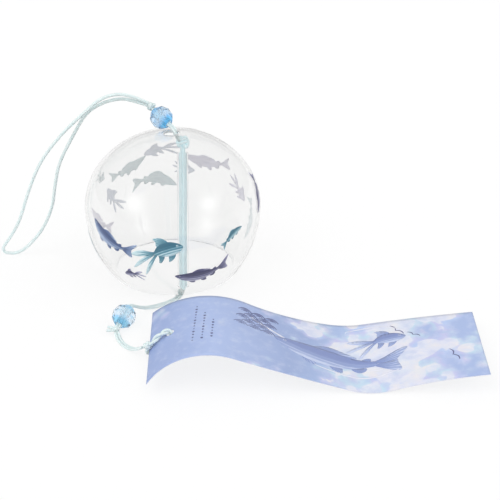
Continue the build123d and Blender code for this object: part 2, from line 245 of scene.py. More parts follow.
def bead_material(name, centre, aim, deep, pale, milk):
    """Clear tinted bead, its colour deepest round the two ends of the bore, with a painted glow that is
    stronger in the bore.
    """
    nodes = new_material(name)
    offset = nodes.vectors("SUBTRACT", {0: nodes.position(), 1: centre})[0]
    along = nodes.vectors("DOT_PRODUCT", {0: offset, 1: aim})["Value"]
    on_axis = nodes.vectors("SCALE", {0: aim, "Scale": along})[0]
    out = nodes.vectors("DISTANCE", {0: offset, 1: on_axis})["Value"]
    bore = nodes.math("LESS_THAN", out, BEAD_BORE_REACH)
    reach = nodes.math("MULTIPLY", nodes.math("ABSOLUTE", along), 1 / BEAD_HALF_LENGTH)
    cloud = nodes.noise(nodes.position(), 420, 2, 0.5)
    colour = nodes.ramp(nodes.math("MULTIPLY_ADD", cloud, 0.3, reach), [(0.42, pale), (0.86, deep)])
    scratches = nodes.noise(nodes.position(), 1100, 2, 0.5)
    body = nodes.principled(
        IOR=1.58,
        Base_Color=nodes.mix(bore, colour, (0.95, 0.98, 1.0)),
        Roughness=nodes.math("MULTIPLY_ADD", bore, 0.5, 0.03),
        Transmission_Weight=nodes.math("MULTIPLY_ADD", bore, -0.04, 1.0 - milk),
        # Painted glow: the bead shines a little by itself, more in its frosted bore.
        Emission_Color=(0.78, 0.90, 1.0),
        Emission_Strength=nodes.math("MULTIPLY_ADD", bore, 0.07, 0.015),
        Normal=nodes.bump(scratches, 0.00002, 0.3),
    )
    return nodes.lets_lamps_through(body, (0.72, 0.86, 0.97))


def cord_material(name, painted_glow):
    """Satin cord: a fine braid of pale aqua threads with painted shade in its grooves, lighter on the
    crowns, and a painted glow that stands in for light coming through it.
    """
    nodes = new_material(name)
    turns, along = nodes.uv_axes()
    threads = []
    for lean in (6, -6):
        phase = nodes.math("MULTIPLY_ADD", along, 900, nodes.math("MULTIPLY", turns, lean))
        threads.append(nodes.math("SINE", nodes.math("MULTIPLY", phase, 2 * math.pi)))
    braid = nodes.math("MAXIMUM", *threads)
    fibre = nodes.noise(nodes.uv((60, 1500, 1)), 1, 2, 0.6)
    height = nodes.math("MULTIPLY_ADD", fibre, 0.6, nodes.math("MULTIPLY", braid, 0.4))
    tone = nodes.noise(nodes.uv((3, 260, 1)), 1, 3, 0.55)
    # Painted shade: the braid's grooves are coloured darker and its crowns lighter, beside the random tone
    # of the threads.
    shade = nodes.math("MULTIPLY_ADD", tone, 0.7, nodes.math("MULTIPLY_ADD", braid, 0.16, 0.06))
    colour = nodes.ramp(shade, [
        (0.12, (0.54, 0.67, 0.67)), (0.42, (0.72, 0.83, 0.83)), (0.72, (0.86, 0.93, 0.925)),
    ])
    body = nodes.principled(
        Base_Color=colour,
        Roughness=0.42,
        Sheen_Weight=0.5,
        Sheen_Roughness=0.35,
        Sheen_Tint=(0.9, 1.0, 1.0),
        Subsurface_Weight=0.12,
        Subsurface_Scale=0.0006,
        Subsurface_Radius=(0.8, 1.0, 1.0),
        # Painted glow: the cord shines by itself, as if light came through it.
        Emission_Color=(0.66, 0.90, 1.0),
        Emission_Strength=painted_glow,
        Normal=nodes.bump(height, 0.00006, 0.6),
    )
    return nodes.finish(body)


def print_material(name, part, back, middle, belly, engraving):
    """Enamel print of a fish's body, engraved over a dark back and a pale belly, or of its rayed fins."""
    nodes = new_material(f"{name}_{part}_print")
    along, across = nodes.uv_axes()
    grain = nodes.noise(nodes.uv((9, 14, 1)), 1, 4, 0.65)
    if part == "body":
        wander = nodes.math("MULTIPLY_ADD", grain, 0.07, nodes.math("MULTIPLY_ADD", along, 0.05, across))
        lines = nodes.math("SINE", nodes.math("MULTIPLY", wander, 36.0))
        low = nodes.math("MAXIMUM", nodes.math("SUBTRACT", 0.80, across), 0.0)
        strokes = nodes.math("MULTIPLY", nodes.math("MAXIMUM", lines, 0.0), low)
        tone = nodes.math("MULTIPLY_ADD", grain, 0.3, across)
        shade = nodes.math("MULTIPLY_ADD", strokes, -engraving, tone)
        stops = [(0.24, belly), (0.44, middle), (0.78, back)]
    else:
        rays = nodes.math("SINE", nodes.math("MULTIPLY", across, 110.0))
        shade = nodes.math("MULTIPLY_ADD", rays, 0.22, nodes.math("MULTIPLY_ADD", grain, 0.3, along))
        stops = [(0.10, back), (0.45, middle), (0.85, belly)]
    return nodes.finish(nodes.principled(
        Base_Color=nodes.ramp(shade, stops), Roughness=0.36, Coat_Weight=0.2, Coat_Roughness=0.12,
        Normal=nodes.bump(shade, 0.00002, 0.4),
    ))


def print_pair(name, back, middle, belly, engraving=1.1):
    return [print_material(name, part, back, middle, belly, engraving) for part in ("body", "fins")]


def backing_material(name, low, high):
    """The back of a print, seen through the glass: pale, with a painted glow that stands in for light coming
    through from outside.
    """
    nodes = new_material(f"{name}_print_backing_painted_glow")
    colour = nodes.ramp(nodes.noise(nodes.uv((5, 7, 1)), 1, 4, 0.6), [(0.3, low), (0.7, high)])
    # Painted glow: the backing shines with its own colour, as if lit from behind.
    body = nodes.principled(Base_Color=colour, Roughness=0.5, Emission_Color=colour, Emission_Strength=0.26)
    return nodes.finish(body)


def wash_material(name, low, high):
    """A flat wash of printed colour, uneven like watercolour."""
    nodes = new_material(f"{name}_wash")
    colour = nodes.ramp(nodes.noise(nodes.uv(), 3.0, 4, 0.6), [(0.35, low), (0.65, high)])
    body = nodes.principled(Base_Color=colour, Roughness=0.5, Coat_Weight=0.12, Coat_Roughness=0.35)
    return nodes.finish(body)


def paper_material():
    """Printed paper: a periwinkle ground in soft bands, with clouds of other colours to the loose end."""
    nodes = new_material("printed_paper")
    along, _ = nodes.uv_axes()
    square = (14, 5, 1)
    drift = nodes.noise(nodes.uv((3.0, 1.1, 1)), 1, 4, 0.55)
    ground = nodes.ramp(nodes.math("MULTIPLY_ADD", drift, 0.30, along), [
        (0.12, (0.25, 0.34, 0.62)), (0.34, (0.40, 0.50, 0.78)), (0.60, (0.30, 0.39, 0.65)),
        (0.85, (0.40, 0.53, 0.79)), (1.05, (0.36, 0.46, 0.73)),
    ])
    warp = nodes.noise(nodes.uv(square), 0.9, 3, 0.6)
    warped = nodes.vectors("ADD", {0: nodes.uv(square), 1: warp})[0]
    cell_inputs = {"Vector": warped, "Scale": 1.25, "Smoothness": 0.35}
    cells = nodes.add("ShaderNodeTexVoronoi", cell_inputs, feature="SMOOTH_F1")
    bank = nodes.noise(nodes.uv(square), 0.33, 2, 0.45)
    where = nodes.ramp(along, [
        (0.40, (0, 0, 0)), (0.62, (1, 1, 1)), (0.80, (1, 1, 1)), (0.98, (0.62, 0.62, 0.62)),
    ], "EASE")
    field = nodes.math("MULTIPLY_ADD", cells.outputs["Distance"], -0.34, bank)
    field = nodes.math("MULTIPLY_ADD", where, 0.33, field)
    tint = nodes.ramp(nodes.noise(nodes.uv(square), 0.6, 3, 0.5), [
        (0.34, (0.48, 0.60, 0.86)), (0.46, (0.60, 0.57, 0.82)),
        (0.56, (0.58, 0.76, 0.84)), (0.68, (0.74, 0.67, 0.80)),
    ])
    cream = nodes.ramp(nodes.noise(nodes.uv(square), 1.1, 4, 0.55), [
        (0.34, (0.58, 0.63, 0.80)), (0.50, (0.72, 0.74, 0.84)), (0.66, (0.80, 0.77, 0.78)),
    ])
    bloom = nodes.noise(nodes.uv(square), 2.2, 5, 0.65)
    pulp = nodes.noise(nodes.uv((420, 150, 1)), 1, 6, 0.65)
    colour = ground
    for share, strength, layer in (
        (nodes.between(field, 0.42, 0.62), 0.75, tint),
        (nodes.between(field, 0.585, 0.625), 0.85, cream),
        (nodes.between(bloom, 0.45, 0.75), 0.18, (0.92, 0.93, 0.98)),
        (pulp, 0.06, (0.95, 0.95, 0.97)),
    ):
        colour = nodes.mix(nodes.math("MULTIPLY", share, strength), colour, layer)
    return nodes.finish(nodes.principled(
        Base_Color=colour, Roughness=0.5, Coat_Weight=0.12, Coat_Roughness=0.35,
        Normal=nodes.bump(pulp, 0.00003, 0.35),
    ))


def paper_edge_material():
    nodes = new_material("paper_edge")
    pulp = nodes.noise(nodes.position(), 2500, 3, 0.6)
    colour = nodes.ramp(pulp, [(0.3, (0.72, 0.73, 0.80)), (0.7, (0.86, 0.87, 0.92))])
    return nodes.finish(nodes.principled(Base_Color=colour, Roughness=0.8))


# Mesh helpers


def volume_of(verts, faces):
    """Six times the volume that faces enclose, negative where they look inward."""
    places = np.array([tuple(v) for v in verts])
    total = 0.0
    for size in {len(face) for face in faces}:
        some = np.array([face for face in faces if len(face) == size])
        for k in range(1, size - 1):
            a, b, c = places[some[:, 0]], places[some[:, k]], places[some[:, k + 1]]
            total += float(np.einsum("ij,ij->i", a, np.cross(b, c)).sum())
    return total


def new_object(name, shape, body, materials):
    """A mesh that rides on a body, its faces turned outward. A shape is its points, its faces and the uv
    pairs of the faces' corners."""
    verts, faces, uvs = shape
    if volume_of(verts, faces) < 0:
        flipped, start = [], 0
        for face in faces:
            flipped += uvs[start:start + len(face)][::-1]
            start += len(face)
        faces, uvs = [face[::-1] for face in faces], flipped
    mesh = bpy.data.meshes.new(name)
    mesh.from_pydata([tuple(v) for v in verts], [], faces)
    layer = mesh.uv_layers.new(name="UVMap")
    layer.data.foreach_set("uv", np.array(uvs, dtype=np.float32).ravel())
    mesh.polygons.foreach_set("use_smooth", [True] * len(mesh.polygons))
    for material in materials:
        mesh.materials.append(material)
    mesh.validate()
    obj = bpy.data.objects.new(name, mesh)
    bpy.context.collection.objects.link(obj)
    if body:
        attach(obj, body)
    return obj


def turns(count):
    """Angles at an even spacing round a circle."""
    return [2 * math.pi * k / count for k in range(count)]


def circle(x, y, radius, count):
    return [(x + radius * math.cos(t), y + radius * math.sin(t)) for t in turns(count)]


def turned(x, y, angle):
    c, s = math.cos(angle), math.sin(angle)
    return x * c - y * s, x * s + y * c


def loft(rings, marks=None, closed=False):
    """Quads between rings of points and a fan at each open end; uv is the turn and the mark of the ring."""
    rings = np.array(rings, float)
    count, sides = rings.shape[:2]
    marks = np.linspace(0, 1, count) if marks is None else np.array(marks)
    verts = [tuple(p) for p in rings.reshape(-1, 3)]
    faces, uvs = [], []
    for i in range(count if closed else count - 1):
        j = (i + 1) % count
        low, high = marks[i], marks[j] if j else 2 * marks[-1] - marks[-2]
        for k in range(sides):
            m = (k + 1) % sides
            faces.append((i * sides + k, i * sides + m, j * sides + m, j * sides + k))
            left, right = k / sides, (k + 1) / sides
            uvs += [(left, low), (right, low), (right, high), (left, high)]
    for ring, step in () if closed else ((0, -1), (count - 1, 1)):
        centre = len(verts)
        verts.append(tuple(rings[ring].mean(axis=0)))
        for k in range(sides):
            faces.append((centre, ring * sides + k, ring * sides + (k + 1) % sides)[::step])
            uvs += [(k / sides, marks[ring])] * 3
    return verts, faces, uvs


def merged(parts):
    """Several shapes as one."""
    verts, faces, uvs = [], [], []
    for some, quads, pairs in parts:
        base = len(verts)
        verts += some
        faces += [tuple(base + i for i in f) for f in quads]
        uvs += pairs
    return verts, faces, uvs


def revolve(profile, sides, place):
    """A closed outline of (radius, height) pairs turned round the Z axis of a placing matrix."""
    return loft([
        [place @ Vector((r * math.cos(t), r * math.sin(t), z)) for r, z in profile] for t in turns(sides)
    ], closed=True)


def aimed(place, aim):
    """A matrix that stands an object's Z axis along aim."""
    return Matrix.Translation(place) @ aim.to_track_quat("Z", "Y").to_matrix().to_4x4()


# Cords, and the spacing in metres of the points along them
CORD_STEP, FINE_STEP, TIP_STEP = 0.0004, 0.0003, 0.00025
CORD_SIDES = 14

# How a cord's end closes: reach past the end and width of each ring, in radii
ROUND_END = ((0.55, 0.86), (0.88, 0.5))
MELTED_END = ((0.25, 1.12), (0.6, 1.06), (0.85, 0.6))


def evened(path, spacing):
    """Points at an even spacing along a smooth line."""
    places = np.array([tuple(p) for p in path])
    steps = np.linalg.norm(np.diff(places, axis=0), axis=1)
    marks = np.concatenate([[0], np.cumsum(steps)])
    count = max(2, int(round(marks[-1] / spacing)) + 1)
    wanted = np.linspace(0, marks[-1], count)
    return [Vector([np.interp(w, marks, places[:, axis]) for axis in range(3)]) for w in wanted]


def cord_line(points, spacing, resolution=12):
    """The line of a NURBS spline whose control points are a route's points, at an even spacing."""
    curve = bpy.data.curves.new("route", "CURVE")
    curve.dimensions = "3D"
    spline = curve.splines.new("NURBS")
    spline.points.add(len(points) - 1)
    for point, place in zip(spline.points, points):
        point.co = (*place, 1)
    spline.order_u = 3
    spline.use_endpoint_u = True
    spline.resolution_u = resolution
    holder = bpy.data.objects.new("route", curve)
    mesh = bpy.data.meshes.new_from_object(holder)
    path = [v.co.copy() for v in mesh.vertices]
    bpy.data.meshes.remove(mesh)
    bpy.data.objects.remove(holder)
    bpy.data.curves.remove(curve)
    return evened(path, spacing)


def tangents(path, closed=False):
    count = len(path)
    found = []
    for i in range(count):
        before = path[(i - 1) % count] if closed else path[max(i - 1, 0)]
        after = path[(i + 1) % count] if closed else path[min(i + 1, count - 1)]
        found.append((after - before).normalized())
    return found


def frames(path, closed=False, up=None):
    """Directions across and up at each point: turned as little as possible, or kept level."""
    along = tangents(path, closed)
    if up is not None:
        across = [t.cross(up).normalized() for t in along]
        return [(a, a.cross(t).normalized()) for a, t in zip(across, along)]
    normals = [along[0].orthogonal().normalized()]
    for before, after in zip(along, along[1:]):
        normals.append((before.rotation_difference(after) @ normals[-1]).normalized())
    if closed:
        last = along[-1].rotation_difference(along[0]) @ normals[-1]
        slip = math.atan2(along[0].dot(last.cross(normals[0])), last.dot(normals[0]))
        back = [Matrix.Rotation(slip * i / len(path), 3, t) for i, t in enumerate(along)]
        normals = [turn @ normal for turn, normal in zip(back, normals)]
    return [(n, t.cross(n)) for n, t in zip(normals, along)]


def tube(path, radius=CORD_RADIUS, closed=False, up=None, shape=None, end=ROUND_END):
    """A cord along a path. shape gives the width and height factors at a share of the way."""
    rings, marks, length = [], [], 0.0
    for i, (place, (across, rise)) in enumerate(zip(path, frames(path, closed, up))):
        if i:
            length += (place - path[i - 1]).length
        wide, high = shape(i / (len(path) - 1)) if shape else (1, 1)
        rings.append([
            place + across * (radius * wide * math.cos(t)) + rise * (radius * high * math.sin(t))
            for t in turns(CORD_SIDES)
        ])
        marks.append(length)

    def closing(ring, place, out, steps):
        return [[place + (p - place) * size + out * (radius * reach) for p in ring] for reach, size in steps]

    if not closed:
        along = tangents(path)
        before = closing(rings[0], path[0], -along[0], ROUND_END)
        after = closing(rings[-1], path[-1], along[-1], end)
        rings = before[::-1] + rings + after
        spread = radius * 0.3
        marks = [-spread * k for k in range(len(before), 0, -1)] + marks
        marks += [length + spread * k for k in range(1, len(after) + 1)]
    return loft(rings, marks, closed)


def beside(points, side):
    """A route half a strand spacing to one side of the middle of its pair."""
    points = [Vector(p) for p in points]
    moved = []
    for i, point in enumerate(points):
        way = points[min(i + 1, len(points) - 1)] - points[max(i - 1, 0)]
        moved.append(point + UP.cross(way).normalized() * (side * STRAND_OFFSET))
    return moved


def twisted(middle, rounds):
    """Two strands wound round the middle line of their pair."""
    pair = []
    for start in (0, math.pi):
        strand = []
        for i, (place, (across, rise)) in enumerate(zip(middle, frames(middle))):
            angle = start + 2 * math.pi * rounds * i / (len(middle) - 1)
            outward = across * math.cos(angle) + rise * math.sin(angle)
            strand.append(place + outward * STRAND_OFFSET)
        pair.append(strand)
    return pair


# The bell's outline, as arcs that meet in line: skirt, shoulder and crown
BELL_RADIUS, BELLY_HEIGHT, MOUTH_RADIUS, GLASS_WALL = 0.040, 0.0315, 0.029, 0.0013
CROWN_RISE, CROWN_RADIUS, HOLE_RADIUS = 0.035, 0.043, 0.0032
EDGE_ROUNDING, ARC_POINTS = 0.00042, 84
SKIRT_RADIUS = ((BELL_RADIUS - MOUTH_RADIUS) ** 2 + BELLY_HEIGHT**2) / (2 * (BELL_RADIUS - MOUTH_RADIUS))
CROWN_DROP = CROWN_RADIUS - CROWN_RISE
SHOULDER_RADIUS = (CROWN_RADIUS**2 - BELL_RADIUS**2 - CROWN_DROP**2) / (2 * (CROWN_RADIUS - BELL_RADIUS))
MEETING = math.atan2(CROWN_DROP, BELL_RADIUS - SHOULDER_RADIUS)
TILT = Matrix.Translation(RIM_BACK) @ Matrix.Rotation(BELL_TILT, 4, "X") @ Matrix.Translation(-RIM_BACK)


def arc_at(angle):
    """Radius of the outline's arc at an angle, and the place of its middle."""
    if angle < 0:
        return SKIRT_RADIUS, BELL_RADIUS - SKIRT_RADIUS, BELLY_HEIGHT
    if angle < MEETING:
        return SHOULDER_RADIUS, BELL_RADIUS - SHOULDER_RADIUS, BELLY_HEIGHT
    return CROWN_RADIUS, 0.0, BELLY_HEIGHT - CROWN_DROP


def outline_point(angle, inset):
    """A point of the bell's meridian: below the belly the angle is the skirt's, above it the crown's."""
    radius, out, height = arc_at(angle)
    return out + (radius - inset) * math.cos(angle), height + (radius - inset) * math.sin(angle)


def bell_profile():
    """The wall's closed outline, its four corners rounded, and its spans at the rim and at the hole."""
    mouth = [-math.asin(BELLY_HEIGHT / (SKIRT_RADIUS - inset)) for inset in (0, GLASS_WALL)]
    hole = [math.acos(HOLE_RADIUS / (CROWN_RADIUS - inset)) for inset in (0, GLASS_WALL)]
    skirt_trim, crown_trim = EDGE_ROUNDING / SKIRT_RADIUS, EDGE_ROUNDING / CROWN_RADIUS
    outer = np.linspace(hole[0] - crown_trim, mouth[0] + skirt_trim, ARC_POINTS)
    inner = np.linspace(mouth[1] + skirt_trim, hole[1] - crown_trim, ARC_POINTS)

    def toward(a, b):
        span = math.hypot(b[0] - a[0], b[1] - a[1])
        return tuple(p + (q - p) * EDGE_ROUNDING / span for p, q in zip(a, b))

    def rounded(start, corner, stop):
        ways = list(zip(start, corner, stop))
        return [
            tuple((1 - t) ** 2 * a + 2 * t * (1 - t) * b + t * t * c for a, b, c in ways)
            for t in (0.2, 0.4, 0.6, 0.8, 1.0)
        ]

    def edge(before, first, second, after):
        """Points round one corner, across the wall and round the other, without the point after it."""
        start, stop = toward(first, second), toward(second, first)
        return rounded(before, first, start) + [stop] + rounded(stop, second, after)[:-1]

    outside = [outline_point(a, 0) for a in outer]
    inside = [outline_point(a, GLASS_WALL) for a in inner]
    rim_corners = outline_point(mouth[0], 0), outline_point(mouth[1], GLASS_WALL)
    hole_corners = outline_point(hole[1], GLASS_WALL), outline_point(hole[0], 0)
    rim = edge(outside[-1], *rim_corners, inside[0])
    profile = outside + rim + inside + edge(inside[-1], *hole_corners, outside[0])
    first, second = len(outside), len(outside + rim + inside)
    return profile, range(first - 1, first + len(rim)), range(second - 1, len(profile))


def glass_place(azimuth, height_angle, turn):
    """Maps a motif's plane onto the bell's outside, centred at an azimuth and a meridian angle. Azimuth 0
    faces the camera's side."""
    reach = arc_at(height_angle)[0]

    def place(x, y, lift):
        x, y = turned(x, y, turn)
        angle = height_angle + y / reach
        if height_angle < 0 < angle:
            angle = angle * SKIRT_RADIUS / SHOULDER_RADIUS
        if height_angle > 0 > angle:
            angle = angle * SHOULDER_RADIUS / SKIRT_RADIUS
        round_by = azimuth + x / outline_point(angle, 0)[0]
        r, z = outline_point(angle, -lift)
        return TILT @ Vector((r * math.sin(round_by), -r * math.cos(round_by), z))

    return place


# Camera, fitted to the photograph
camera = bpy.data.objects.new("camera", bpy.data.cameras.new("camera"))
camera.location = (0.03518, -0.45361, 0.24278)
camera.rotation_euler = (math.radians(62.73), 0, 0)
camera.data.sensor_width = 36
camera.data.lens = 78.7
camera.data.clip_start = 0.01
camera.data.clip_end = 20
bpy.context.collection.objects.link(camera)
bpy.context.scene.camera = camera

# Cord pieces
cord = cord_material("satin_cord", painted_glow=0.0)
# The cords under the glass get a painted glow.
cord_under_glass = cord_material("satin_cord_under_glass_painted_glow", painted_glow=0.23)


def cord_piece(name, parts, body, material=cord):
    return new_object(name, merged(parts), body, [material])


# Hanging loop
loop_path = cord_line(HANGING_LOOP, CORD_STEP, 14)
hanging_loop = cord_piece("hanging_loop_cord", [tube(loop_path, LOOP_CORD_RADIUS)], "hanging_loop")
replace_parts(hanging_loop, "hanging_loop")

# Tail strands, continuous through the lower bead to the knot behind it
bead_across = LOWER_AIM.cross(UP).normalized()
in_bead = [LOWER_BEAD - LOWER_AIM * 0.0036, LOWER_BEAD + LOWER_AIM * 0.0036, BEAD_KNOT - LOWER_AIM * 0.0012]
for side, label, node in ((1, "back", "tail_strand_back"), (-1, "front", "tail_strand_front")):
    route = beside(TAIL, side) + [place - bead_across * (side * STRAND_OFFSET) for place in in_bead]
    path = cord_line(route, CORD_STEP, 14)
    strand = cord_piece(f"tail_cord_{label}", [tube(path)], "tail")
    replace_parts(strand, node)
    if side == 1:
        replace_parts(strand, "lower_bead_cord")
    span = sum((b - a).length for a, b in zip(path, path[1:]))

# Neck strands, from the crown knot through the hole and the upper bead to the loop knot
neck_across = NECK_AIM.cross(UP).normalized()
neck_middle = [
    (Vector((0.0038, 0.0024, 0.0624)), Vector((0, 0.8, 0))),
    (Vector((0.0027, 0.0019, 0.0639)), Vector((0, 1, 0))),
    (Vector((0.00195, 0.00135, 0.0660)), Vector((0, 1, 0))),
    (Vector((0.00195, 0.00135, 0.0676)), neck_across),
    (NECK_PIVOT + NECK_AIM * 0.0011, neck_across),
    (UPPER_BEAD - NECK_AIM * 0.0022, neck_across),
    (UPPER_BEAD + NECK_AIM * 0.0030, neck_across),
    (LOOP_KNOT - NECK_AIM * 0.0008, neck_across),
]
for side, label in ((1, "far"), (-1, "near")):
    route = [place + across * (side * STRAND_OFFSET) for place, across in neck_middle]
    strand = cord_piece(f"neck_cord_{label}", [tube(cord_line(route, FINE_STEP))], None)
    if side == 1:
        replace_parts(strand, "neck_cord", "bead_cord")
    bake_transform(strand)

# Clapper strands, from the crown knot down through the tube to the clapper knot
for side, label in ((1, "right"), (-1, "left")):
    offset = Vector((side * STRAND_OFFSET, 0, 0))
    route = [
        CLAPPER_PIVOT - CLAPPER_AIM * 0.0016 + offset * 0.8,
        CLAPPER_PIVOT + offset,
        CLAPPER_PIVOT + CLAPPER_AIM * 0.020 + offset + Vector((0.0001, 0, 0)),
        CLAPPER_PIVOT + CLAPPER_AIM * 0.042 + offset - Vector((0.0001, 0, 0)),
        CLAPPER_FOOT - CLAPPER_AIM * 0.001 + offset,
        CLAPPER_FOOT + CLAPPER_AIM * 0.0006 + offset + Vector((0, -0.0006, 0)),
        CLAPPER_KNOT + Vector((0, 0.001, 0)) + offset * 0.7,
    ]
    path = cord_line(route, CORD_STEP, 16)
    strand = cord_piece(f"clapper_cord_{label}", [tube(path)], None, cord_under_glass)
    if side == 1:
        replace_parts(strand, "clapper_cord")
    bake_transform(strand)

# The squeezed stretch under the rim
RIM_STRAND_OFFSET = 0.00074
rim_parts = []
rim_across = (RIM_EXIT - RIM_ENTRY).cross(UP).normalized()


def pressed(share):
    """Wider and flatter in the middle of the stretch, where the rim stands on it."""
    near = 1 - min(1, abs(share - 0.5) / 0.5) ** 4
    return 1 + 0.19 * near, 1 - 0.16 * near


for side in (-1, 1):
    shift = rim_across * (side * RIM_STRAND_OFFSET)
    route = [
        CLAPPER_KNOT + Vector((0, -0.0009, -0.0007)) + shift * 0.8, RIM_ENTRY + shift,
        RIM_EXIT + shift, TAIL_START + shift * 0.85 + Vector((-0.0002, -0.0005, 0)),
    ]
    rim_parts.append(tube(cord_line(route, FINE_STEP), up=UP, shape=pressed))
rim_cord = cord_piece("rim_cord_pair", rim_parts, None)
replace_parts(rim_cord, "rim_cord")
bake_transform(rim_cord)

# Leads to the card and the loops through its hole
lead_parts = [tube(cord_line(beside(CARD_LEAD, side), CORD_STEP)) for side in (1, -1)]
card_lead = cord_piece("card_lead_cords", lead_parts, "card_lead")
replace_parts(card_lead, "card_strand_back", "card_strand_front")
loop_middle = [(Vector(a) + Vector(b)) / 2 for a, b in zip(CARD_LOOP_BACK, CARD_LOOP_FRONT)]
loop_pair = twisted(cord_line(loop_middle, FINE_STEP), rounds=2.6)
for path, node in zip(loop_pair, ("card_loop_back", "card_loop_front")):
    piece = cord_piece(f"{node}_cord", [tube(path)], "card")
    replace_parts(piece, node)


def knot_path(place, radius):
    """The closed line of a tightened overhand knot."""
    size = (radius - CORD_RADIUS) / 3
    path = []
    for t in turns(96):
        x = math.sin(t) + 2 * math.sin(2 * t)
        y = math.cos(t) - 2 * math.cos(2 * t)
        z = -math.sin(3 * t) * 1.5
        path.append(place @ (Vector((x, y, z)) * size))
    return path


def knot(node, centre, aim, radius, body):
    """A knot of the double cord: two tied lines, one a little smaller and turned against the other."""
    parts = []
    for shift, twist, size in ((-0.000125, 0.0, 1), (0.000125, 0.6, 0.94)):
        place = aimed(centre + aim.normalized() * shift, aim) @ Matrix.Rotation(twist, 4, "Z")
        parts.append(tube(knot_path(place, radius * size), closed=True))
    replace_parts(cord_piece(f"{node}_cord", parts, body), node)


def ring_path(place, centre, radii, lean):
    """A closed loop in a knot's own plane, leaning out of it."""
    path = []
    for t in turns(64):
        x, y = radii[0] * math.cos(t), radii[1] * math.sin(t)
        path.append(place @ (Vector(centre) + Vector((x, y, lean * y + 0.35 * x * math.sin(t)))))
    return path


# Crown knot: two rings of cord in each of its two lobes, and two turns round its waist
knot_place = aimed(CROWN_KNOT, Vector((0, -0.889, 0.458)))
CROWN_RINGS = [
    # middle, half width and half height, lean
    ((-0.00145, -0.0002, 0.0003), (0.00095, 0.0017), 0.25),
    ((-0.0009, 0.0003, -0.0008), (0.0010, 0.0018), -0.2),
    ((0.00165, -0.0007, 0.0002), (0.00085, 0.00185), -0.3),
    ((0.0010, 0.0001, -0.0009), (0.0011, 0.0019), 0.25),
]
crown_parts = [tube(ring_path(knot_place, *ring), closed=True) for ring in CROWN_RINGS]
for rise in (-0.0008, 0.0006):
    waist = [(0.00175 * math.cos(t), rise + 0.0005 * math.cos(t), 0.0017 * math.sin(t)) for t in turns(64)]
    crown_parts.append(tube([knot_place @ Vector(p) for p in waist], closed=True))
crown_knot = cord_piece("crown_knot_cord", crown_parts, "bell", cord_under_glass)
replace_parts(crown_knot, "crown_knot")
knot("loop_knot", LOOP_KNOT, NECK_AIM, 0.0022, "hanging_loop")
knot("clapper_knot", CLAPPER_KNOT, Vector((0.1, 1, 0.1)), 0.0016, "clapper")
knot("bead_knot", BEAD_KNOT, LOWER_AIM, 0.0017, "tail")
knot("card_knot", CARD_KNOT, Vector((0.8, -0.4, 0.5)), 0.0019, "card")

# Cut ends at the bead knot, each by its tip and by how far its middle bends up
end_parts = []
for tip, bend in (((-0.0243, -0.0596, 0.00322), 0.0004), ((-0.0246, -0.0612, 0.00242), -0.0003)):
    middle = BEAD_KNOT.lerp(Vector(tip), 0.6) + Vector((0, 0, bend))
    end_parts.append(tube(cord_line([BEAD_KNOT, middle, tip], TIP_STEP), end=MELTED_END))
cut_ends = cord_piece("cut_cord_ends_melted", end_parts, "tail")
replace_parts(cut_ends, "cut_cord_ends")

# Bell
glass = clear_glass_material(
    "blown_glass", (0.957, 0.958, 0.956), waves=38, depth=0.0004, strength=0.25, tint=(0.97, 0.972, 0.975),
)
BELL_SIDES = 168
profile, rim_spans, hole_spans = bell_profile()
ground_rim = ground_glass_material("ground_rim", clearness=0.92)
ground_hole = ground_glass_material("ground_hole", clearness=0.1)
bell_shape = revolve(profile, BELL_SIDES, TILT)
bell = new_object("blown_glass_bell", bell_shape, "bell", [glass, ground_rim, ground_hole])
for polygon in bell.data.polygons:
    span = polygon.index % len(profile)
    polygon.material_index = 1 if span in rim_spans else 2 if span in hole_spans else 0
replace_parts(bell, "glass_bell")

# Clapper tube, its outline a rounded corner at each end of the outside and of the bore
TUBE_RADIUS, TUBE_BORE, TUBE_ROUNDING, TUBE_SIDES = 0.0025, 0.00145, 0.0003, 56
TUBE_DROP = 0.001
TUBE_LENGTH = (CLAPPER_FOOT - CLAPPER_PIVOT).length - TUBE_DROP
CORNER_POINTS = 6
BORE_SPANS = range(3 * CORNER_POINTS - 1, 4 * CORNER_POINTS)
outer, inner = TUBE_RADIUS - TUBE_ROUNDING, TUBE_BORE + TUBE_ROUNDING
low, high = TUBE_ROUNDING, TUBE_LENGTH - TUBE_ROUNDING
tube_profile = [
    (r + TUBE_ROUNDING * math.cos(angle), z + TUBE_ROUNDING * math.sin(angle))
    for r, z, turn in ((outer, low, -90), (outer, high, 0), (inner, high, 90), (inner, low, 180))
    for angle in np.radians(np.linspace(turn, turn + 90, CORNER_POINTS))
]
tube_glass = clear_glass_material(
    "tube_glass", (0.97, 0.975, 0.98), waves=90, depth=0.0003, strength=0.2, tint=(0.965, 0.97, 0.975),
)
tube_place = aimed(CLAPPER_PIVOT + CLAPPER_AIM * TUBE_DROP, CLAPPER_AIM)
tube_shape = revolve(tube_profile, TUBE_SIDES, tube_place)
tube_materials = [tube_glass, snug_bore_material()]
clapper_tube = new_object("glass_clapper_tube", tube_shape, "clapper", tube_materials)
for polygon in clapper_tube.data.polygons:
    polygon.material_index = int(polygon.index % len(tube_profile) in BORE_SPANS)
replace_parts(clapper_tube, "clapper_tube")

# Beads, which are the CAD nodes themselves
blue_bead = bead_material(
    "clear_blue_bead", UPPER_BEAD, NECK_AIM, deep=(0.04, 0.42, 0.93), pale=(0.72, 0.87, 1.0), milk=0.07,
)
pale_bead = bead_material(
    "clear_pale_blue_bead", LOWER_BEAD, LOWER_AIM, deep=(0.14, 0.60, 1.0), pale=(0.90, 0.95, 1.0), milk=0.05,
)
for node, material in (("upper_bead", blue_bead), ("lower_bead", pale_bead)):
    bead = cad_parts[node]
    bead.data.materials.clear()
    bead.data.materials.append(material)
    edges = bead.modifiers.new("polished_edges", "BEVEL")
    edges.width = 0.00012
    edges.segments = 1
    edges.limit_method = "ANGLE"
    edges.angle_limit = math.radians(8)

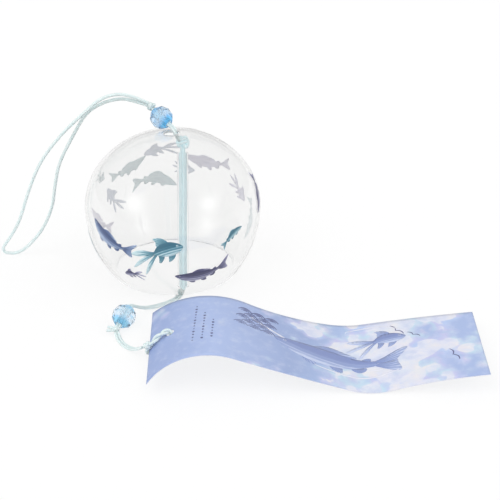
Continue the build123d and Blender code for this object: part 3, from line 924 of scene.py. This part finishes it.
# Paper strip, between its two bent long edges. A bend is a share of the length and a turn in degrees.
CARD_LENGTH, CARD_WIDTH, CARD_THICKNESS = 0.140, 0.050, 0.00032
CARD_HOLE_X, CARD_HOLE_RADIUS = 0.0032, 0.0018
FAR_EDGE_Y, NEAR_EDGE_Y, TABLE_GAP = -0.054, -0.104, 0.0003
FAR_BENDS = ((0.30, -64), (0.26, 16), (0.11, 18.5), (0.33, -3.5))
NEAR_BENDS = ((0.27, -77), (0.34, 2.5), (0.12, 33), (0.27, -10.5))
BEND_STEPS = 40


def strip_edge(start, heading, bends):
    """One long edge as arcs that rest over the table: x, z and heading of its points, and their shares."""
    x, z, angle = start, 0.0, math.radians(heading)
    places, shares = [(x, z, angle)], [0.0]
    for share, turn in bends:
        radius = CARD_LENGTH * share / math.radians(turn)
        shares += [shares[-1] + share * step / BEND_STEPS for step in range(1, BEND_STEPS + 1)]
        for step in range(1, BEND_STEPS + 1):
            new = angle + math.radians(turn) * step / BEND_STEPS
            right = radius * (math.sin(new) - math.sin(angle))
            places.append((x + right, z + radius * (math.cos(angle) - math.cos(new)), new))
        x, z, angle = places[-1]
    lowest = min(z for _, z, _ in places)
    return np.array(places) + (0, TABLE_GAP - lowest, 0), np.array(shares)


far_edge, far_shares = strip_edge(-0.0060, 39, FAR_BENDS)
near_edge, near_shares = strip_edge(-0.0046, 58, NEAR_BENDS)


def sheet_point(along, across, lift):
    """A point over the paper from metres along it and metres across it from the far edge."""
    side = across / CARD_WIDTH
    shares = far_shares + (near_shares - far_shares) * side
    row = float(np.interp(along / CARD_LENGTH, shares, np.arange(len(shares))))
    base = min(int(row), len(shares) - 2)
    far, near = (edge[base] + (edge[base + 1] - edge[base]) * (row - base) for edge in (far_edge, near_edge))
    x, z, angle = far + (near - far) * side
    y = FAR_EDGE_Y + (NEAR_EDGE_Y - FAR_EDGE_Y) * side
    return Vector((x, y, z)) + Vector((-math.sin(angle), 0, math.cos(angle))) * lift


def filled(outline, grid, hole=()):
    """Triangles inside an outline, through the points of a grid and along the ring of a hole."""
    count = len(outline)
    ring = [(count + i, count + (i + 1) % len(hole)) for i in range(len(hole))]
    points = [Vector(p) for p in (*outline, *hole, *grid)]
    found = delaunay_2d_cdt(points, ring, [list(range(count))], 1, 1e-7)
    return [tuple(v) for v in found[0]], [list(f) for f in found[2]]


def slab(cells, count):
    """Faces of a thin closed slab: its top, back and sides. The back's points come first, count of them."""
    edges = {(a, b) for cell in cells for a, b in zip(cell, cell[1:] + cell[:1])}
    top = [[count + k for k in cell] for cell in cells]
    back = [cell[::-1] for cell in cells]
    sides = [[a, b, count + b, count + a] for a, b in sorted(edges) if (b, a) not in edges]
    return top, back, sides


# The strip is laid out flat, bent onto its two edges and given its thickness
hole_across = CARD_WIDTH / 2
search = np.linspace(0, CARD_LENGTH / 4, 200)
hole_along = float(np.interp(CARD_HOLE_X, [sheet_point(a, hole_across, 0).x for a in search], search))


def from_hole(along, across):
    """How many radii of the hole a place lies from its middle."""
    return math.hypot(along - hole_along, across - hole_across) / CARD_HOLE_RADIUS


GRID_ALONG, GRID_ACROSS, HOLE_POINTS = 157, 25, 48
alongs, acrosses = np.linspace(0, CARD_LENGTH, GRID_ALONG), np.linspace(0, CARD_WIDTH, GRID_ACROSS)
border = [(a, 0) for a in alongs] + [(CARD_LENGTH, c) for c in acrosses[1:]]
border += [(a, CARD_WIDTH) for a in alongs[-2::-1]] + [(0, c) for c in acrosses[-2:0:-1]]
hole_edge = circle(hole_along, hole_across, CARD_HOLE_RADIUS, HOLE_POINTS)
hole_surround = circle(hole_along, hole_across, CARD_HOLE_RADIUS * 1.2, HOLE_POINTS)
grid = [(a, c) for a in alongs[1:-1] for c in acrosses[1:-1] if from_hole(a, c) > 1.3]
flat, cells = filled(border, grid + hole_surround, hole_edge)
cells = [cell for cell in cells if from_hole(*np.mean([flat[k] for k in cell], axis=0)) > 0.995]
top, back, sides = slab(cells, len(flat))
half = CARD_THICKNESS / 2
sheet_verts = [sheet_point(a, c, lift) for lift in (-half, half) for a, c in flat]
sheet_faces = top + back + sides
corners = [flat[k % len(flat)] for face in sheet_faces for k in face]
sheet_uvs = [(a / CARD_LENGTH, 1 - c / CARD_WIDTH) for a, c in corners]
card = new_object("paper_strip", (sheet_verts, sheet_faces, sheet_uvs), "card",
                  [paper_material(), paper_edge_material()])
for polygon in card.data.polygons[len(top + back):]:
    polygon.material_index = 1
    polygon.use_smooth = False
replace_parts(card, "card")

# The two fish of the prints, drawn in hundredths of their length
FISH = {
    "slim": {
        "body": [
            (-50, 0), (-47, 3), (-40, 6.5), (-30, 10), (-18, 12.5), (-5, 13), (8, 11.5), (20, 8), (30, 5),
            (36, 3.5), (37, -2), (28, -4), (16, -7.5), (2, -10.5), (-12, -12), (-26, -11), (-38, -7.5),
            (-46, -3.5),
        ],
        "upper_tail": [
            (34, 3), (42, 7.5), (50, 13), (57, 16.5), (60, 15), (57.5, 9), (54, 3), (52, 0), (42, 0),
        ],
        "lower_tail": [
            (34, 0), (44, 0), (53, 0), (54.5, -4), (57, -10), (58.5, -15), (56, -16), (50, -12.5),
            (42, -7),
        ],
        "dorsal": [(-16, 12), (-12, 16.5), (-5, 19), (3, 18), (11, 15), (18, 11.5), (19, 8.5), (5, 11)],
        "second_dorsal": [(24, 6.2), (27, 9), (31, 8.5), (31, 4.5)],
        "pectoral": [(-26, -6), (-24, -11), (-19, -15.5), (-13, -16.5), (-11, -14), (-14, -9), (-18, -5)],
        "pelvic": [(0, -9.5), (2, -14), (7, -16.5), (11, -15.5), (11, -12), (9, -8)],
        "anal": [(18, -6.5), (20, -10), (25, -11.5), (29, -9), (29, -4.5)],
    },
    "veil": {
        "body": [
            (-36, 0), (-33, 5), (-26, 10), (-17, 13.5), (-6, 14), (4, 11), (11, 6), (15, 3), (15, -1),
            (8, -6), (-2, -11), (-13, -13), (-24, -10.5), (-32, -5.5),
        ],
        "upper_tail": [(12, 3), (20, 8), (30, 15), (42, 20), (54, 21), (50, 15), (40, 8), (28, 3), (16, 0)],
        "middle_tail": [
            (12, 2), (22, 2.5), (34, 3), (48, 2), (62, -3), (52, -6), (38, -5), (24, -3), (13, -1),
        ],
        "lower_tail": [
            (10, 0), (19, -4), (29, -10), (40, -19), (47, -29), (37, -25), (26, -17), (17, -9), (10, -4),
        ],
        "dorsal": [(-16, 12), (-12, 20), (-4, 25), (6, 26), (3, 20), (5, 14), (3, 10), (-8, 12)],
        "pectoral": [(-20, -9), (-16, -17), (-9, -22), (-3, -23), (-5, -17), (-9, -10)],
        "anal": [(0, -10), (4, -16), (10, -20), (13, -18), (10, -11), (8, -5)],
    },
}

# Middle and radius of each fish's eye, in shares of its length
EYES = {"slim": (-0.41, 0.022, 0.016), "veil": (-0.275, 0.03, 0.020)}


def smooth_outline(points, steps=6):
    """A closed Catmull-Rom line through given points."""
    found = []
    count = len(points)
    for i in range(count):
        p0, p1, p2, p3 = (np.array(points[(i + k) % count]) for k in (-1, 0, 1, 2))
        for step in range(steps):
            t = step / steps
            curve = (2 * p0 - 5 * p1 + 4 * p2 - p3) * t**2 + (3 * p1 - p0 - 3 * p2 + p3) * t**3
            found.append(tuple(0.5 * (2 * p1 + (p2 - p0) * t + curve)))
    return found


def decal(name, marks, place, spacing, body, materials, lifts):
    """Thin closed slabs over a surface, the last material on their backs. A mark is an outline, a material's
    number and a function that turns a place into print coordinates. place turns a motif's x and y and a lift
    into a point."""
    verts, faces, uvs, kinds = [], [], [], []
    low, high = lifts
    for order, (outline, kind, tone) in enumerate(marks):
        starts, stops = np.min(outline, axis=0), np.max(outline, axis=0)
        columns, rows = (np.arange(a, b, spacing) for a, b in zip(starts, stops))
        points, cells = filled(outline, [(x, y) for x in columns for y in rows])
        base, count = len(verts), len(points)
        for lift in (low, high + (high - low) * 0.12 * order):
            verts += [place(x, y, lift) for x, y in points]
        for number, some in zip((kind, len(materials) - 1, kind), slab(cells, count)):
            for face in some:
                faces.append([base + k for k in face])
                kinds.append(number)
                uvs += [tone(*points[k % count]) for k in face]
    piece = new_object(name, (verts, faces, uvs), body, materials)
    piece.data.polygons.foreach_set("material_index", kinds)


def fish(kind, length, bend, flip):
    """A plain fish seen from the side, its spine bent to an arc, as marks for decal(): the fins lie under
    the body."""
    marks = []

    def mark(line, number, tone):
        line = [(x * flip * length, (y + bend * (x * x - 0.1)) * length) for x, y in line]
        marks.append((line[::flip], number, tone))

    for part in sorted(FISH[kind], key=lambda part: part == "body"):
        drawn = [(x / 100, y / 100) for x, y in FISH[kind][part]]
        root = np.mean([drawn[0], drawn[-1]], axis=0)

        def tone(x, y, part=part, root=root):
            x, y = x / length * flip, y / length
            y -= bend * (x * x - 0.1)
            if part == "body":
                return x + 0.5, y * 3.6 + 0.5
            reach = np.array([x, y]) - root
            return float(np.hypot(*reach)) * 2.4, float(math.atan2(reach[1], reach[0] + 0.02)) / math.pi

        mark(smooth_outline(drawn), 0 if part == "body" else 1, tone)
    x, y, radius = EYES[kind]
    for size, value in ((1, 0.0), (0.55, 1.0)):
        mark(circle(x, y, radius * size, 12), 0, lambda x, y, value=value: (0.5, value))
    return marks


# Prints on the glass, each colour with its backing
violet = print_pair("slate_violet", (0.045, 0.047, 0.13), (0.12, 0.12, 0.27), (0.50, 0.50, 0.66))
blue = print_pair("slate_blue", (0.045, 0.08, 0.20), (0.12, 0.19, 0.38), (0.52, 0.62, 0.78))
teal = print_pair("teal", (0.05, 0.17, 0.24), (0.15, 0.36, 0.45), (0.60, 0.78, 0.82))
# Each backing has a painted glow.
violet.append(backing_material("lilac", (0.76, 0.74, 0.84), (0.92, 0.90, 0.97)))
blue.append(backing_material("mist", (0.74, 0.77, 0.85), (0.90, 0.92, 0.97)))
teal.append(backing_material("aqua", (0.74, 0.82, 0.84), (0.88, 0.94, 0.95)))
ON_GLASS, ON_PAPER = (0.00003, 0.00008), (0.00002, 0.00004)
PRINTS = [
    # name, shape, azimuth and meridian angle in degrees, length in mm, turn in degrees, bend, flip, colours
    ("left", "slim", -41, -3, 23, -24, 0.45, 1, blue),
    ("small_left", "veil", -27, -22, 11, 10, -0.3, 1, violet),
    ("middle", "veil", -3, -6, 26, 22, -0.35, -1, teal),
    ("right", "slim", 22, -21, 23, 6, 0.45, 1, violet),
    ("small_right", "slim", 44, -2, 12, 30, -0.4, -1, teal),
    ("far_a", "slim", 158, 15, 24, 4, 0.5, -1, violet),
    ("far_b", "veil", 195, 27, 20, -16, -0.3, -1, blue),
    ("far_c", "slim", 217, 12, 20, -22, 0.5, 1, teal),
    ("far_d", "veil", 174, 4, 12, 12, 0.3, 1, blue),
    ("far_e", "slim", 196, -4, 21, 8, -0.5, 1, teal),
    ("far_f", "veil", 233, -7, 16, 60, 0.3, -1, blue),
    ("far_g", "veil", 128, -4, 16, 40, 0.2, 1, violet),
    ("far_h", "slim", 107, -15, 19, 74, -0.5, 1, teal),
    ("far_i", "slim", 256, -14, 20, 52, 0.4, -1, violet),
    ("far_j", "veil", 246, 14, 12, 35, 0.2, 1, teal),
    ("side_right", "slim", 82, 14, 17, 62, 0.3, 1, violet),
    ("side_left", "slim", -76, -17, 14, -58, -0.3, 1, teal),
]
for name, kind, azimuth, angle, length, turn, bend, flip, colours in PRINTS:
    place = glass_place(math.radians(azimuth), math.radians(angle), math.radians(turn))
    decal(f"print_{name}", fish(kind, length * MM, bend, flip), place, 0.0009, "bell", colours, ON_GLASS)


# Prints on the paper
WASH_TILE = 0.02


def card_place(along, across, turn=0.0):
    """Maps a motif's plane onto the paper, its x toward the loose end and its y toward the far edge."""

    def place(x, y, lift):
        x, y = turned(x, y, turn)
        return sheet_point(along + x, across - y, lift + CARD_THICKNESS / 2)

    return place


def wash_uv(x, y):
    """Print coordinates of a plain mark: one unit to a tile of its wash."""
    return x / WASH_TILE, y / WASH_TILE


def stroke(points, width):
    """A brush stroke through given points in metres, thin at both ends."""
    curve = smooth_outline(points, 8)[:8 * (len(points) - 1) + 1]
    line = evened([Vector((x, y, 0)) for x, y in curve], 0.0005)
    sides = [[], []]
    for i, (place, way) in enumerate(zip(line, tangents(line))):
        reach = width / 2 * (0.12 + 0.88 * math.sin(math.pi * i / (len(line) - 1)) ** 0.6)
        for side, sign in zip(sides, (1, -1)):
            side.append((place.x - way.y * reach * sign, place.y + way.x * reach * sign))
    return sides[1] + sides[0][::-1], 0, wash_uv


mist = print_pair("mist_blue", (0.20, 0.26, 0.52), (0.30, 0.38, 0.64), (0.55, 0.62, 0.82), 0.4)
foam = wash_material("foam", (0.74, 0.76, 0.88), (0.88, 0.88, 0.94))
ink = wash_material("ink", (0.09, 0.09, 0.22), (0.16, 0.16, 0.32))
for name, kind, along, across, length, turn, bend, flip in (
    ("card_fish_large", "slim", 79, 28, 50, -10, 0.30, 1),
    ("card_fish_small", "veil", 101, 15, 27, 12, -0.35, -1),
):
    place = card_place(along * MM, across * MM, math.radians(turn))
    decal(name, fish(kind, length * MM, bend, flip), place, 0.0018, "card", [*mist, foam], ON_PAPER)

# Three strings of bubbles, in mm
bubbles = []
for column in range(3):
    for row in range(13 - 3 * column):
        radius = 0.30 + 0.22 * ((row * 5 + column * 3) % 4) / 3
        ring = circle(column * 3.7 * MM, (row * 2.3 + column * 1.2) * MM, radius * MM, 20)
        bubbles.append((ring, 0, wash_uv))

# Rows of fan-shaped waves, in mm
waves = []
for x, y in [(6.0 * i + 3.0 * (row % 2), 2.9 * row) for row in range(5) for i in range(3 - row % 2)]:
    for radius in (2.7, 1.7, 0.8):
        arc = np.linspace(0.1, math.pi - 0.1, 7)
        points = [((x + radius * math.cos(t)) * MM, (y + radius * math.sin(t)) * MM) for t in arc]
        waves.append(stroke(points, 0.00042))

# Gulls, in mm, each of two wing strokes
gulls = []
for x, y, size, turn in ((0, 0, 1.5, -55), (7, -5, 1.1, -40), (21, -24, 1.5, -70)):
    for side in (-1, 1):
        wing = [(0, 0), (side * 0.9, 0.85), (side * 1.9, 1.0), (side * 3.0, 0.5)]
        wing = [turned(a * size, b * size, math.radians(turn)) for a, b in wing]
        gulls.append(stroke([((x + a) * MM, (y + b) * MM) for a, b in wing], 0.0005))

foam_lines = [
    stroke([(-0.036, 0.018), (-0.024, 0.009), (-0.010, 0.0), (0.004, -0.0045), (0.016, -0.004)], 0.0012),
    stroke([(-0.010, -0.0065), (0.002, -0.0105), (0.014, -0.0105), (0.026, -0.006)], 0.0008),
    stroke([(0.004, 0.0225), (0.012, 0.0255), (0.021, 0.0245), (0.028, 0.019)], 0.0007),
]
for name, marks, place, colour in (
    ("card_bubbles", bubbles, card_place(0.0215, 0.037), ink),
    ("card_waves", waves, card_place(0.0400, 0.0195, math.radians(-8)), ink),
    ("card_gulls", gulls, card_place(0.1065, 0.0085), ink),
    ("card_foam_lines", foam_lines, card_place(0.082, 0.029), foam),
):
    decal(name, marks, place, 0.001, "card", [colour, colour], ON_PAPER)


# Floor
FLOOR_HALF, FLOOR_Z = 3, -0.00005


def floor_material():
    """White board that looks lit from within, so that its far parts stay white."""
    nodes = new_material("white_floor")
    base = nodes.add("ShaderNodeBsdfDiffuse", {"Color": (0.94, 0.94, 0.94)}).outputs[0]
    glow = nodes.add("ShaderNodeEmission", {"Strength": 1.0}).outputs[0]
    rays = nodes.add("ShaderNodeLightPath").outputs
    mirrored = nodes.math("MAXIMUM", rays["Is Glossy Ray"], rays["Is Transmission Ray"])
    seen = nodes.math("MAXIMUM", rays["Is Camera Ray"], mirrored)
    return nodes.finish(nodes.mix_shaders(nodes.math("MULTIPLY", seen, 0.84), base, glow))


floor_corners = [(x * FLOOR_HALF, y * FLOOR_HALF, FLOOR_Z) for x, y in ((-1, -1), (1, -1), (1, 1), (-1, 1))]
floor_uvs = [(0, 0), (1, 0), (1, 1), (0, 1)]
floor = new_object("floor", (floor_corners, [(0, 1, 2, 3)], floor_uvs), None, [floor_material()])

# How bright the studio's walls are, as light and as the glass shows them
WALLS, SEEN_WALLS = 0.68, 0.784

# Glows in the walls, each by its direction, width and strength
GLOWS = [((-0.75, -0.55, 0.5), 0.030, 1.76), ((0.8, -0.5, 0.5), 0.022, 1.76)]


def studio_world():
    """White to the camera, dimmer as light, and walls with two glows where glass mirrors or bends them."""
    world = bpy.data.worlds.new("studio")
    nodes = Nodes(world)
    sky = nodes.add("ShaderNodeTexCoord").outputs["Generated"]
    seen = SEEN_WALLS
    for aim, width, strength in GLOWS:
        toward = nodes.vectors("DOT_PRODUCT", {0: sky, 1: Vector(aim).normalized()})["Value"]
        away = nodes.math("MULTIPLY", nodes.math("SUBTRACT", 1.0, toward), -1 / width)
        seen = nodes.math("MULTIPLY_ADD", nodes.math("EXPONENT", away), strength, seen)
    rays = nodes.add("ShaderNodeLightPath").outputs
    mirrored = nodes.math("MAXIMUM", rays["Is Glossy Ray"], rays["Is Transmission Ray"])
    light = nodes.math("MULTIPLY_ADD", mirrored, nodes.math("SUBTRACT", seen, WALLS), WALLS)
    light = nodes.math("MULTIPLY_ADD", rays["Is Camera Ray"], 1 - WALLS, light)
    background = nodes.add("ShaderNodeBackground", {"Color": (1, 1, 1), "Strength": light})
    nodes.add("ShaderNodeOutputWorld", {"Surface": background.outputs[0]})
    return world


def soft_sun(name, toward, strength, spread):
    """A lamp that lights the pieces and isn't mirrored in the glass."""
    lamp = bpy.data.lights.new(name, "SUN")
    lamp.energy = strength
    lamp.angle = math.radians(spread)
    obj = bpy.data.objects.new(name, lamp)
    obj.rotation_euler = Vector(toward).to_track_quat("Z", "Y").to_euler()
    obj.visible_glossy = False
    obj.visible_transmission = False
    bpy.context.collection.objects.link(obj)


soft_sun("left_softbox", (-0.8, -0.5, 1.1), strength=1.1, spread=50)
soft_sun("right_softbox", (0.9, -0.35, 1.0), strength=0.66, spread=60)

scene = bpy.context.scene
scene.world = studio_world()
scene.view_settings.view_transform = "Standard"
scene.cycles.transparent_max_bounces = 24
scene.cycles.transmission_bounces = 16
scene.cycles.max_bounces = 20
